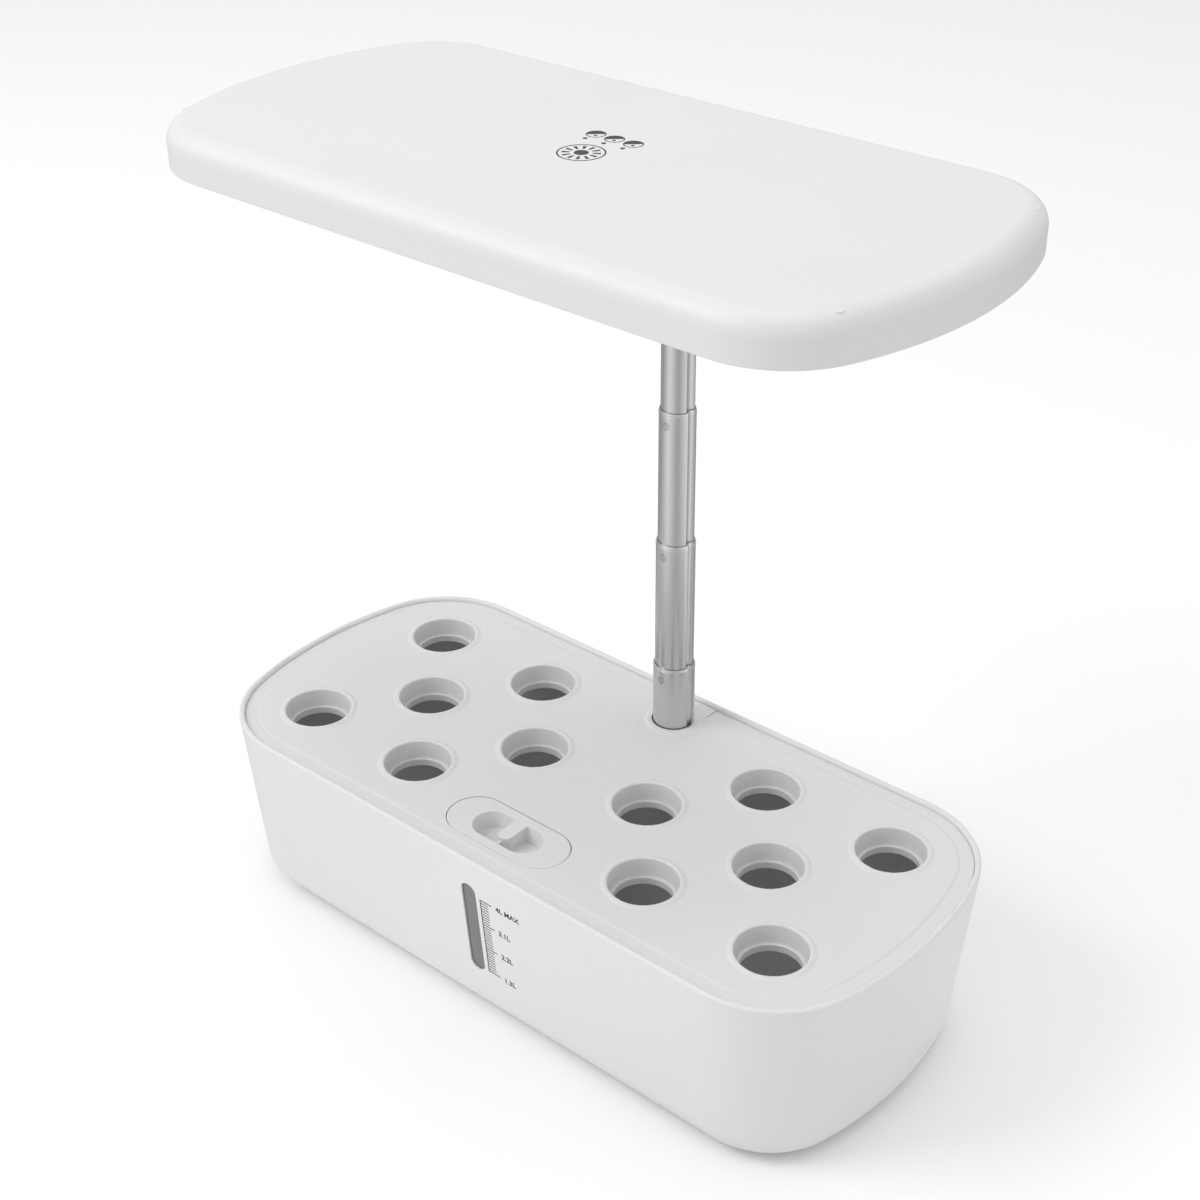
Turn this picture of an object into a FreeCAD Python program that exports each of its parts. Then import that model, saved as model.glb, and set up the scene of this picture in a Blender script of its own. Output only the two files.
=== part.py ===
import FreeCAD, Part
import math
import os
import re
import Sketcher

# Countertop hydroponic garden: a white tub with a grey water tank inside, a lift-off planting
# deck with twelve pod holes, and a grow lamp on a four-section telescopic pole at the back.
# Millimetres. +Z is up, +X runs along the tub, -Y is the front with the level gauge.
# The origin is the middle of the footprint, on the surface that the rubber feet stand on.

doc = FreeCAD.newDocument("hydroponic_garden")

# Driving dimensions
SIZES = {
    "base_half_length": 200.0,
    "base_half_width": 90.4,
    "base_corner_radius": 52.7,
    "base_end_radius": 202.0,
    "rim_top": 102.0,
    "foot_height": 1.0,
    "wall_slope": 5.05,
    "bottom_round": 15.5,
    "housing_wall": 3.0,
    "housing_floor": 3.0,
    "rim_round": 1.3,
    "tank_gap": 0.3,
    "tank_wall": 1.8,
    "tank_top": 97.9,
    "bay_half_width": 34.0,
    "bay_front": 50.0,
    "deck_top": 100.4,
    "deck_skin": 2.5,
    "deck_gap": 0.4,
    "deck_border": 6.5,
    "deck_step": 0.5,
    "hole_pitch": 37.15,
    "hole_row": 47.2,
    "lip_rise": 0.8,
    "lip_radius": 20.6,
    "lip_slope": 68.0,
    "bore_radius": 17.2,
    "bore_slope": 7.5,
    "bore_depth": 9.8,
    "bore_round": 0.9,
    "ring_radius": 14.5,
    "sleeve_radius": 18.8,
    "sleeve_depth": 12.5,
    "slot_width": 9.3,
    "slot_height": 56.0,
    "slot_centre": 58.2,
    "window_inset": 0.8,
    "lid_length": 71.0,
    "lid_width": 30.0,
    "lid_centre": -60.0,
    "lid_thickness": 3.0,
    "lid_gap": 0.4,
    "lid_ledge": 1.6,
    "lid_frame": 2.0,
    "lid_edge_round": 0.5,
    "grip_length": 40.0,
    "grip_width": 19.6,
    "grip_depth": 8.5,
    "grip_wall": 1.5,
    "grip_slope": 12.0,
    "grip_mouth_round": 0.6,
    "cup_round": 2.0,
    "bridge_width": 7.6,
    "bridge_reach": 15.2,
    "bridge_drop": 0.6,
    "rib_thick": 1.4,
    "rib_reach": 6.0,
    "rib_drop": 2.4,
    "pole_centre": 66.2,
    "pole_radius": 8.3,
    "pole_step": 0.8,
    "pole_wall": 0.55,
    "groove_centre": 10.9,
    "groove_radius": 2.0,
    "sleeve_play": 0.05,
    "first_rim": 134.4,
    "section_pitch": 71.7,
    "pole_overlap": 22.0,
    "collar_height": 2.4,
    "collar_rim": 0.9,
    "collar_proud": 0.15,
    "collar_lip": 0.5,
    "collar_play": 0.25,
    "friction_length": 12.0,
    "pin_radius": 2.0,
    "pin_drop": 4.6,
    "pin_proud": 0.05,
    "socket_radius": 14.0,
    "socket_floor": 30.0,
    "socket_top": 97.4,
    "socket_play": 0.05,
    "socket_foot_length": 40.0,
    "socket_foot_width": 22.0,
    "socket_foot_height": 6.0,
    "seat_length": 19.0,
    "seat_set_back": 11.3,
    "seat_bottom": 80.0,
    "notch_set_back": 1.5,
    "lead_hole": 4.0,
    "seat_half_width": 12.1,
    "notch_half_width": 12.4,
    "pole_hole_radius": 11.4,
    "pole_ring_width": 4.0,
    "lamp_half_length": 196.5,
    "lamp_half_width": 95.4,
    "lamp_corner_radius": 45.6,
    "lamp_end_radius": 183.0,
    "lamp_under": 401.8,
    "lamp_height": 20.4,
    "lamp_round": 9.2,
    "lamp_edge_round": 0.8,
    "lamp_wall": 2.2,
    "bezel_gap": 0.2,
    "bezel_thick": 2.4,
    "light_length": 320.0,
    "light_width": 126.0,
    "light_centre": -17.0,
    "diffuser_thick": 2.0,
    "diffuser_lap": 3.0,
    "board_level": 9.0,
    "board_thick": 1.6,
    "chip_side": 3.0,
    "chip_height": 0.9,
    "chip_pitch": 23.0,
    "chip_row": 21.0,
    "neck_height": 24.0,
    "neck_foot_radius": 11.5,
    "neck_head_radius": 17.0,
    "lamp_screw_across": 176.0,
    "lamp_screw_along": 66.0,
    "back_screw_across": 60.0,
    "back_screw_along": 81.0,
    "post_radius": 2.5,
    "post_across": 12.0,
    "post_along": 8.0,
    "touch_board_length": 50.0,
    "touch_board_width": 44.0,
    "touch_board_along": 6.0,
    "boss_radius": 3.6,
    "screw_radius": 1.5,
    "screw_play": 0.2,
    "screw_head_radius": 2.8,
    "screw_head_height": 1.6,
    "screw_length": 9.0,
    "jack_across": 24.0,
    "jack_level": 20.0,
    "jack_radius": 5.0,
    "jack_flange": 1.2,
    "jack_flange_level": 81.9,
    "jack_bore": 2.8,
    "jack_pin_radius": 1.05,
    "jack_depth": 9.0,
    "jack_body": 14.0,
    "jack_play": 0.1,
    "nut_thick": 2.4,
    "nut_back": 5.2,
    "control_board_across": -26.0,
    "control_board_width": 18.0,
    "control_board_height": 44.0,
    "foot_radius": 9.0,
    "foot_seat": 0.8,
    "foot_across": 150.0,
    "foot_along": 54.0,
    "pump_across": -35.6,
    "pump_along": 4.0,
    "pump_bottom": 9.8,
    "pump_length": 44.0,
    "pump_width": 32.0,
    "pump_tall": 27.0,
    "chamber_radius": 11.0,
    "chamber_depth": 9.0,
    "rotor_radius": 6.0,
    "rotor_length": 18.0,
    "rotor_play": 0.6,
    "shaft_radius": 1.0,
    "shaft_length": 33.0,
    "shaft_play": 0.05,
    "blade_radius": 9.8,
    "blade_thick": 1.2,
    "cover_thick": 3.0,
    "cover_slot_width": 2.4,
    "cover_slot_length": 12.0,
    "cover_slot_pitch": 4.6,
    "hub_radius": 3.0,
    "cup_radius": 5.0,
    "cup_neck": 2.0,
    "cup_across": 15.0,
    "cup_along": 10.0,
    "spout_radius": 5.0,
    "spout_bore": 3.4,
    "spout_height": 14.0,
    "lead_radius": 1.6,
    "lead_bend": 8.0,
    "lead_run": 30.0,
    "grommet_radius": 4.0,
    "grommet_groove": 0.8,
    "grommet_lip": 1.0,
}

# Pod holes in hole pitches along X and in rows along Y
POD_HOLES = (
    (-4, -1), (-2, -1), (2, -1), (4, -1),
    (-3, 0), (-1, 0), (1, 0), (3, 0),
    (-4, 1), (-2, 1), (2, 1), (4, 1),
)

# Sections of the pole, 1 at the lamp to 4 in the base
SECTIONS = (1, 2, 3, 4)

# Turns (axis, degrees) that point a cylinder along another axis
TOWARDS_BACK = ((1, 0, 0), -90)
TOWARDS_FRONT = ((1, 0, 0), 90)
TO_RIGHT = ((0, 1, 0), 90)

# Columns and rows of light chips, and which of them are red or blue
CHIP_COLUMNS = range(-7, 7)
CHIP_ROWS = range(-3, 3)
RED_EVERY = 5
BLUE_EVERY = 10
BLUE_START = 3

# Levels and places that several parts share
INNER_FLOOR = "foot_height + housing_floor"
TANK_FLOOR = INNER_FLOOR + " + tank_wall"
LEAD_X = "pump_across + 12"
LEAD_Z = "pump_bottom + pump_tall / 2"
CLEAR = "10"
WORD = re.compile(r"[a-z_]+")

sheet = doc.addObject("Spreadsheet::Sheet", "Sizes")
for row, (word, value) in enumerate(SIZES.items(), start=1):
    sheet.set("A%d" % row, word)
    sheet.set("B%d" % row, str(value))
    sheet.setAlias("B%d" % row, word)
doc.recompute()

nodes = []


def bound(text):
    """Write an expression of the sheet's aliases as the document reads it."""
    return WORD.sub(lambda m: "Sizes." + m.group(0) if m.group(0) in SIZES else m.group(0), text)


def number(text):
    """Give the value of an expression of the sheet's aliases."""
    result = sheet.evalExpression(bound(text))
    return float(getattr(result, "Value", result))


def node(obj, label):
    """Name a finished sub-part and keep it for export."""
    obj.Label = label
    nodes.append(obj)
    return obj


def bind(obj, **sizes):
    for prop, text in sizes.items():
        obj.setExpression(prop, bound(text))


def place(obj, x="0", y="0", z="0", turn=None):
    """Put an object at bound coordinates, with an optional turn (axis, degrees)."""
    if turn:
        obj.Placement = FreeCAD.Placement(FreeCAD.Vector(), FreeCAD.Rotation(FreeCAD.Vector(*turn[0]), turn[1]))
    for letter, text in (("x", x), ("y", y), ("z", z)):
        obj.setExpression("Placement.Base." + letter, bound(text))
    return obj


def cylinder(name, radius, height, x="0", y="0", z="0", turn=None):
    obj = doc.addObject("Part::Cylinder", name)
    bind(obj, Radius=radius, Height=height)
    return place(obj, x, y, z, turn)


def cone(name, low, high, height, x="0", y="0", z="0"):
    obj = doc.addObject("Part::Cone", name)
    bind(obj, Radius1=low, Radius2=high, Height=height)
    return place(obj, x, y, z)


def block(name, length, width, height, x="0", y="0", z="0"):
    """A box whose centre in plan is at x, y and whose lowest face is at z."""
    obj = doc.addObject("Part::Box", name)
    bind(obj, Length=length, Width=width, Height=height)
    return place(obj, "%s - (%s) / 2" % (x, length), "%s - (%s) / 2" % (y, width), z)


def cut(name, base, tool):
    obj = doc.addObject("Part::Cut", name)
    obj.Base = base
    obj.Tool = tool
    return obj


def fuse(name, *shapes):
    obj = doc.addObject("Part::MultiFuse", name)
    obj.Shapes = list(shapes)
    return obj


def common(name, *shapes):
    obj = doc.addObject("Part::MultiCommon", name)
    obj.Shapes = list(shapes)
    return obj


def group(name, shapes):
    obj = doc.addObject("Part::Compound", name)
    obj.Links = list(shapes)
    return obj


# Sketches
def new_body(name):
    return doc.addObject("PartDesign::Body", name)


def new_sketch(body, name, plane, offset="0"):
    """A sketch on one of the body's own origin planes, moved along its normal."""
    sketch = body.newObject("Sketcher::SketchObject", name)
    origin_plane = [item for item in body.Origin.OriginFeatures if item.Role == plane][0]
    sketch.AttachmentSupport = (origin_plane, [""])
    sketch.MapMode = "FlatFace"
    sketch.setExpression("AttachmentOffset.Base.z", bound(offset))
    return sketch


def dimension(sketch, kind, refs, text, name):
    """Add a named dimension that follows an expression of the sheet."""
    index = sketch.addConstraint(Sketcher.Constraint(kind, *refs, number(text)))
    sketch.renameConstraint(index, name)
    sketch.setExpression("Constraints." + name, bound(text))


def circles(sketch, centres, radius):
    """Equal circles, centres given as pairs of expressions."""
    first = None
    for count, (x, y) in enumerate(centres):
        middle = FreeCAD.Vector(number(x), number(y), 0)
        index = sketch.addGeometry(Part.Circle(middle, FreeCAD.Vector(0, 0, 1), number(radius)), False)
        dimension(sketch, "DistanceX", (-1, 1, index, 3), x, "across_%d" % count)
        dimension(sketch, "DistanceY", (-1, 1, index, 3), y, "along_%d" % count)
        if first is None:
            first = index
            dimension(sketch, "Radius", (index,), radius, "radius")
        else:
            sketch.addConstraint(Sketcher.Constraint("Equal", first, index))
    return sketch


def rectangle(sketch, left, right, low, high):
    """A rectangle between bound sides."""
    x = (number(left), number(right))
    y = (number(low), number(high))
    corners = ((x[0], y[0]), (x[1], y[0]), (x[1], y[1]), (x[0], y[1]))
    lines = []
    for start, end in zip(corners, corners[1:] + corners[:1]):
        segment = Part.LineSegment(FreeCAD.Vector(*start, 0), FreeCAD.Vector(*end, 0))
        lines.append(sketch.addGeometry(segment, False))
    for first, second in zip(lines, lines[1:] + lines[:1]):
        sketch.addConstraint(Sketcher.Constraint("Coincident", first, 2, second, 1))
    for line in lines[0::2]:
        sketch.addConstraint(Sketcher.Constraint("Horizontal", line))
    for line in lines[1::2]:
        sketch.addConstraint(Sketcher.Constraint("Vertical", line))
    dimension(sketch, "DistanceX", (-1, 1, lines[0], 1), left, "left")
    dimension(sketch, "DistanceX", (-1, 1, lines[0], 2), right, "right")
    dimension(sketch, "DistanceY", (-1, 1, lines[0], 1), low, "low")
    dimension(sketch, "DistanceY", (-1, 1, lines[2], 1), high, "high")
    return sketch


def stadium(sketch, length, width, x="0", y="0", upright=False):
    """A slot outline with half-round ends, lying along X, or upright."""
    half = number("(%s - (%s)) / 2" % (length, width))
    radius = number("(%s) / 2" % width)
    turn = math.pi / 2 if upright else 0.0
    spot = FreeCAD.Vector(number(x), number(y), 0)

    def point(along, across):
        return spot + FreeCAD.Vector(
            along * math.cos(turn) - across * math.sin(turn),
            along * math.sin(turn) + across * math.cos(turn), 0)

    normal = FreeCAD.Vector(0, 0, 1)
    low = sketch.addGeometry(Part.LineSegment(point(-half, -radius), point(half, -radius)), False)
    far = sketch.addGeometry(Part.ArcOfCircle(
        Part.Circle(point(half, 0), normal, radius), turn - math.pi / 2, turn + math.pi / 2), False)
    top = sketch.addGeometry(Part.LineSegment(point(half, radius), point(-half, radius)), False)
    near = sketch.addGeometry(Part.ArcOfCircle(
        Part.Circle(point(-half, 0), normal, radius), turn + math.pi / 2, turn + 3 * math.pi / 2), False)
    for first, second in ((low, far), (far, top), (top, near), (near, low)):
        sketch.addConstraint(Sketcher.Constraint("Tangent", first, 2, second, 1))
    sketch.addConstraint(Sketcher.Constraint("Vertical" if upright else "Horizontal", low))
    reach = "(%s - (%s)) / 2" % (length, width)
    dimension(sketch, "Radius", (far,), "(%s) / 2" % width, "end_radius")
    if upright:
        dimension(sketch, "DistanceX", (-1, 1, far, 3), x, "across")
        dimension(sketch, "DistanceY", (-1, 1, far, 3), "%s + %s" % (y, reach), "far_centre")
        dimension(sketch, "DistanceY", (-1, 1, near, 3), "%s - %s" % (y, reach), "near_centre")
    else:
        dimension(sketch, "DistanceY", (-1, 1, far, 3), y, "along")
        dimension(sketch, "DistanceX", (-1, 1, far, 3), "%s + %s" % (x, reach), "far_centre")
        dimension(sketch, "DistanceX", (-1, 1, near, 3), "%s - %s" % (x, reach), "near_centre")
    return sketch


def plan_outline(sketch, family, inset):
    """The tub's or lamp's plan: straight long sides, bowed ends and large corner arcs."""
    texts = {
        "half_length": "%s_half_length - (%s)" % (family, inset),
        "half_width": "%s_half_width - (%s)" % (family, inset),
        "corner": "%s_corner_radius - (%s)" % (family, inset),
        "end": "%s_end_radius - (%s)" % (family, inset),
    }
    a, b, corner, end = (number(texts[key]) for key in ("half_length", "half_width", "corner", "end"))
    end_x = a - end
    corner_y = b - corner
    corner_x = end_x + math.sqrt((end - corner) ** 2 - corner_y ** 2)
    lean = math.atan2(corner_y, corner_x - end_x)
    quarter = math.pi / 2
    normal = FreeCAD.Vector(0, 0, 1)

    def line(x1, y1, x2, y2):
        segment = Part.LineSegment(FreeCAD.Vector(x1, y1, 0), FreeCAD.Vector(x2, y2, 0))
        return sketch.addGeometry(segment, False)

    def arc(x, y, radius, start, stop):
        circle = Part.Circle(FreeCAD.Vector(x, y, 0), normal, radius)
        return sketch.addGeometry(Part.ArcOfCircle(circle, start, stop), False)

    front = line(-corner_x, -b, corner_x, -b)
    front_right = arc(corner_x, -corner_y, corner, -quarter, -lean)
    right = arc(end_x, 0, end, -lean, lean)
    back_right = arc(corner_x, corner_y, corner, lean, quarter)
    back = line(corner_x, b, -corner_x, b)
    back_left = arc(-corner_x, corner_y, corner, quarter, 2 * quarter - lean)
    left = arc(-end_x, 0, end, 2 * quarter - lean, 2 * quarter + lean)
    front_left = arc(-corner_x, -corner_y, corner, 2 * quarter + lean, 3 * quarter)
    ring = (front, front_right, right, back_right, back, back_left, left, front_left)
    for first, second in zip(ring, ring[1:] + ring[:1]):
        sketch.addConstraint(Sketcher.Constraint("Tangent", first, 2, second, 1))
    for other in (back_right, back_left, front_left):
        sketch.addConstraint(Sketcher.Constraint("Equal", front_right, other))
    sketch.addConstraint(Sketcher.Constraint("Equal", right, left))
    sketch.addConstraint(Sketcher.Constraint("PointOnObject", right, 3, -1))
    sketch.addConstraint(Sketcher.Constraint("PointOnObject", left, 3, -1))
    sketch.addConstraint(Sketcher.Constraint("Symmetric", front, 1, front, 2, -2))
    dimension(sketch, "Radius", (front_right,), texts["corner"], "corner")
    dimension(sketch, "Radius", (right,), texts["end"], "end")
    end_centre = "%s_half_length - %s_end_radius" % (family, family)
    dimension(sketch, "DistanceX", (-1, 1, right, 3), end_centre, "end_x")
    dimension(sketch, "DistanceY", (front, 1, -1, 1), texts["half_width"], "front_y")
    dimension(sketch, "DistanceY", (-1, 1, back, 1), texts["half_width"], "back_y")
    return sketch


# Solid features
def pad(body, sketch, length, up=True, slope=None):
    feature = body.newObject("PartDesign::Pad", sketch.Name + "_pad")
    feature.Profile = sketch
    feature.setExpression("Length", bound(length))
    feature.Reversed = not up
    if slope:
        feature.setExpression("TaperAngle", bound(slope))
    doc.recompute()
    return feature


def pocket(body, sketch, length, flip=False, slope=None):
    """Cut against the sketch's normal, or along it with flip, and check that it removed material."""
    before = body.Shape.Volume
    feature = body.newObject("PartDesign::Pocket", sketch.Name + "_pocket")
    feature.Profile = sketch
    feature.setExpression("Length", bound(length))
    feature.Reversed = flip
    if slope:
        feature.setExpression("TaperAngle", bound(slope))
    doc.recompute()
    if body.Shape.Volume >= before - 1e-6:
        raise RuntimeError("%s cut nothing" % feature.Name)
    return feature


def subtract(body, tool):
    """Take another body's solid out of a body."""
    feature = body.newObject("PartDesign::Boolean", tool.Name + "_taken")
    feature.setObjects([tool])
    feature.Type = "Cut"
    doc.recompute()
    return feature


def round_edges(body, name, radius, wanted):
    """Fillet the edges of the body's tip that the test picks."""
    tip = body.Tip
    names = ["Edge%d" % (i + 1) for i, edge in enumerate(tip.Shape.Edges) if wanted(edge)]
    if not names:
        raise RuntimeError("%s found no edges" % name)
    feature = body.newObject("PartDesign::Fillet", name)
    feature.Base = (tip, names)
    feature.setExpression("Radius", bound(radius))
    doc.recompute()
    if "Invalid" in feature.State:
        raise RuntimeError("%s could not be rounded" % name)
    return feature


def flat_at(level, tolerance=0.01):
    """A test for edges that lie in the horizontal plane at a bound level."""
    height = number(level)

    def test(edge):
        box = edge.BoundBox
        return abs(box.ZMin - height) < tolerance and abs(box.ZMax - height) < tolerance
    return test


def pod_centres():
    return [("%d * hole_pitch" % i, "%d * hole_row" % j) for i, j in POD_HOLES]


def tub(name, inset, floor, fillet):
    """A solid of the tub's tapered form, set in from the outside, down to a floor level."""
    body = new_body(name)
    sketch = plan_outline(new_sketch(body, name + "_plan", "XY_Plane", "rim_top"), "base", inset)
    pad(body, sketch, "rim_top - (%s)" % floor, up=False, slope="-wall_slope")
    round_edges(body, name + "_round", fillet, flat_at(floor))
    return body


# Outer housing
def outer_housing():
    body = tub("outer_housing", "0", "foot_height", "bottom_round")
    subtract(body, tub("housing_room", "housing_wall", INNER_FLOOR, "bottom_round - housing_wall"))
    round_edges(body, "housing_rim_round", "rim_round", flat_at("rim_top"))
    slot = stadium(new_sketch(body, "gauge_slot", "XZ_Plane"), "slot_height", "slot_width",
                   "0", "slot_centre", upright=True)
    pocket(body, slot, "base_half_width + " + CLEAR, flip=True)
    jack_hole = circles(new_sketch(body, "jack_hole", "XZ_Plane"), [("jack_across", "jack_level")],
                        "jack_radius - 1 + jack_play")
    pocket(body, jack_hole, "base_half_width + " + CLEAR)
    jack_seat = circles(new_sketch(body, "jack_seat", "XZ_Plane", "jack_flange_level * -1"),
                        [("jack_across", "jack_level")], "jack_radius + jack_play")
    pocket(body, jack_seat, CLEAR)
    screw_holes = circles(new_sketch(body, "socket_screw_holes", "XY_Plane", INNER_FLOOR),
                          socket_screw_places(), "screw_radius + screw_play")
    pocket(body, screw_holes, "housing_floor")
    head_holes = circles(new_sketch(body, "socket_head_holes", "XY_Plane", "foot_height + screw_head_height"),
                         socket_screw_places(), "screw_head_radius + screw_play")
    pocket(body, head_holes, "screw_head_height")
    foot_seats = circles(new_sketch(body, "foot_seats", "XY_Plane", "foot_height + foot_seat"),
                         foot_places(), "foot_radius")
    pocket(body, foot_seats, "foot_seat")
    return node(body, "outer_housing")


def socket_screw_places():
    return [("%d * (socket_radius - 2)" % side, "pole_centre - 8") for side in (-1, 1)]


def foot_places():
    return [("%d * foot_across" % i, "%d * foot_along" % j) for i in (-1, 1) for j in (-1, 1)]


def rubber_feet():
    feet = []
    for index, (x, y) in enumerate(foot_places()):
        feet.append(cylinder("foot_%d" % index, "foot_radius", "foot_height + foot_seat", x, y))
    return node(group("rubber_feet", feet), "rubber_feet")


# Water tank with a dry bay at the back for the pole, the inlet and the control board
def inner_tank():
    gap = "housing_wall + tank_gap"
    outside = tub("tank_outside", gap, INNER_FLOOR, "bottom_round - housing_wall - tank_gap")
    inside = tub("tank_inside", gap + " + tank_wall", TANK_FLOOR,
                 "bottom_round - housing_wall - tank_gap - tank_wall")
    bay_deep = "base_half_width"
    bay_wall = block("bay_wall", "2 * (bay_half_width + tank_wall)", bay_deep, "rim_top",
                     "0", "bay_front - tank_wall + %s / 2" % bay_deep)
    bay_room = block("bay_room", "2 * bay_half_width", bay_deep, "rim_top",
                     "0", "bay_front + %s / 2" % bay_deep)
    wet = cut("tank_wet_room", inside, bay_wall)
    shell = cut("tank_shell", outside, wet)
    open_bay = cut("tank_open_bay", shell, bay_room)
    above = block("above_tank", "3 * base_half_length", "3 * base_half_width", CLEAR, "0", "0", "tank_top")
    trimmed = cut("tank_trimmed", open_bay, above)
    lead_hole = cylinder("tank_lead_hole", "grommet_radius - grommet_groove", CLEAR, LEAD_X,
                         "bay_front - %s / 2" % CLEAR, LEAD_Z, TOWARDS_BACK)
    return node(cut("inner_tank", trimmed, lead_hole), "inner_tank")


# Smoked window in the gauge slot, following the slope of the wall
def level_window():
    skin = tub("window_skin", "window_inset", "foot_height + 1", "bottom_round - 1")
    core = tub("window_core", "housing_wall", "foot_height + 2", "bottom_round - housing_wall")
    body = new_body("window_plug")
    sketch = stadium(new_sketch(body, "window_plan", "XZ_Plane"), "slot_height - 0.1", "slot_width - 0.1",
                     "0", "slot_centre", upright=True)
    pad(body, sketch, "base_half_width + " + CLEAR)
    return node(cut("level_window", common("window_band", body, skin), core), "level_window")


# Planting deck
def planting_deck():
    inset = "housing_wall + deck_gap"
    body = new_body("planting_deck")
    plate = plan_outline(new_sketch(body, "deck_plate", "XY_Plane", "deck_top - deck_skin"), "base", inset)
    pad(body, plate, "deck_skin - deck_step")
    raised = plan_outline(new_sketch(body, "deck_raised", "XY_Plane", "deck_top - deck_step"), "base",
                          inset + " + deck_border")
    pad(body, raised, "deck_step", slope="-lip_slope")
    lips = circles(new_sketch(body, "hole_lips", "XY_Plane", "deck_top"), pod_centres(), "lip_radius")
    pad(body, lips, "lip_rise", slope="-lip_slope")
    pole_ring = circles(new_sketch(body, "pole_ring", "XY_Plane", "deck_top"), [("0", "pole_centre")],
                        "pole_hole_radius + pole_ring_width")
    pad(body, pole_ring, "lip_rise", slope="-lip_slope")
    sleeves = circles(new_sketch(body, "hole_sleeves", "XY_Plane", "deck_top - deck_skin"), pod_centres(),
                      "sleeve_radius")
    pad(body, sleeves, "sleeve_depth - deck_skin", up=False)
    frame = stadium(new_sketch(body, "lid_frame", "XY_Plane", "deck_top - deck_skin"),
                    "lid_length + 2 * lid_gap + 2 * lid_frame", "lid_width + 2 * lid_gap + 2 * lid_frame",
                    "0", "lid_centre")
    pad(body, frame, "lid_thickness", up=False)
    bores = circles(new_sketch(body, "pod_bores", "XY_Plane", "deck_top + lip_rise"), pod_centres(),
                    "bore_radius")
    pocket(body, bores, "bore_depth", slope="-bore_slope")
    rings = circles(new_sketch(body, "pod_rings", "XY_Plane", "deck_top"), pod_centres(), "ring_radius")
    pocket(body, rings, "sleeve_depth + 1")
    seat = stadium(new_sketch(body, "lid_seat", "XY_Plane", "deck_top + lip_rise"),
                   "lid_length + 2 * lid_gap", "lid_width + 2 * lid_gap", "0", "lid_centre")
    pocket(body, seat, "lid_thickness + lip_rise")
    mouth = stadium(new_sketch(body, "filler_mouth", "XY_Plane", "deck_top"),
                    "lid_length - 2 * lid_ledge", "lid_width - 2 * lid_ledge", "0", "lid_centre")
    pocket(body, mouth, CLEAR)
    hole = circles(new_sketch(body, "pole_hole", "XY_Plane", "deck_top + lip_rise"), [("0", "pole_centre")],
                   "pole_hole_radius")
    pocket(body, hole, CLEAR)
    notch = rectangle(new_sketch(body, "pole_notch", "XY_Plane", "deck_top + lip_rise"), "-notch_half_width",
                      "notch_half_width", "pole_centre + notch_set_back", "base_half_width")
    pocket(body, notch, CLEAR)
    round_edges(body, "bore_rounding", "bore_round", rim_edge("bore_radius", "deck_top + lip_rise"))
    return node(body, "planting_deck")


def rim_edge(radius, level):
    """A test for circular edges of a bound radius that lie at a bound level."""
    size = number(radius)
    flat = flat_at(level)

    def test(edge):
        return flat(edge) and isinstance(edge.Curve, Part.Circle) and abs(edge.Curve.Radius - size) < 0.02
    return test


# Lift-off lid of the filler opening, with a finger grip: two scoops and a bridge between them
def filler_lid():
    body = new_body("filler_lid")
    plate = stadium(new_sketch(body, "lid_plate", "XY_Plane", "deck_top - lid_thickness"),
                    "lid_length", "lid_width", "0", "lid_centre")
    pad(body, plate, "lid_thickness")
    round_edges(body, "lid_round", "lid_edge_round", flat_at("deck_top"))
    cup = stadium(new_sketch(body, "lid_cup", "XY_Plane", "deck_top - lid_thickness"),
                  "grip_length + 2 * grip_wall", "grip_width + 2 * grip_wall", "0", "lid_centre")
    pad(body, cup, "grip_depth + grip_wall - lid_thickness", up=False)
    round_edges(body, "cup_rounding", "cup_round", flat_at("deck_top - grip_depth - grip_wall"))
    scoop = stadium(new_sketch(body, "lid_scoop", "XY_Plane", "deck_top"),
                    "grip_length", "grip_width", "0", "lid_centre")
    pocket(body, scoop, "grip_depth", slope="-grip_slope")
    round_edges(body, "scoop_mouth", "grip_mouth_round", scoop_edge)
    bridge = rectangle(new_sketch(body, "grip_bridge", "XY_Plane", "deck_top - grip_depth"),
                       "-bridge_width / 2", "bridge_width / 2",
                       "lid_centre + grip_width / 2 - bridge_reach + bridge_width / 2",
                       "lid_centre + grip_width / 2 + grip_wall / 2")
    pad(body, bridge, "grip_depth - bridge_drop")
    nose = circles(new_sketch(body, "bridge_nose", "XY_Plane", "deck_top - grip_depth"),
                   [("0", "lid_centre + grip_width / 2 - bridge_reach + bridge_width / 2")],
                   "bridge_width / 2")
    pad(body, nose, "grip_depth - bridge_drop")
    rib = rectangle(new_sketch(body, "grip_rib", "XY_Plane", "deck_top - grip_depth"),
                    "-rib_thick / 2", "rib_thick / 2", "lid_centre - grip_width / 2",
                    "lid_centre - grip_width / 2 + rib_reach")
    pad(body, rib, "grip_depth - rib_drop")
    return node(body, "filler_lid")


def scoop_edge(edge):
    box = edge.BoundBox
    near_top = abs(box.ZMin - number("deck_top")) < 0.01 and abs(box.ZMax - number("deck_top")) < 0.01
    return near_top and box.YMax < number("lid_centre + grip_width / 2 + 0.1") \
        and box.YMin > number("lid_centre - grip_width / 2 - 0.1")


# Telescopic pole
def tube_radius(section):
    return "pole_radius + %d * pole_step" % (section - 1)


def groove(section):
    return "groove_radius + %d * pole_step" % (SECTIONS[-1] - section)


def rim_level(section):
    """Level of a section's upper rim, with the pole drawn out."""
    return "first_rim + %d * section_pitch" % (SECTIONS[-1] - section)


def tube_foot(section):
    if section == SECTIONS[-1]:
        return "socket_floor"
    return "%s - pole_overlap" % rim_level(section + 1)


def tube_head(section):
    return "lamp_under" if section == SECTIONS[0] else rim_level(section)


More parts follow.
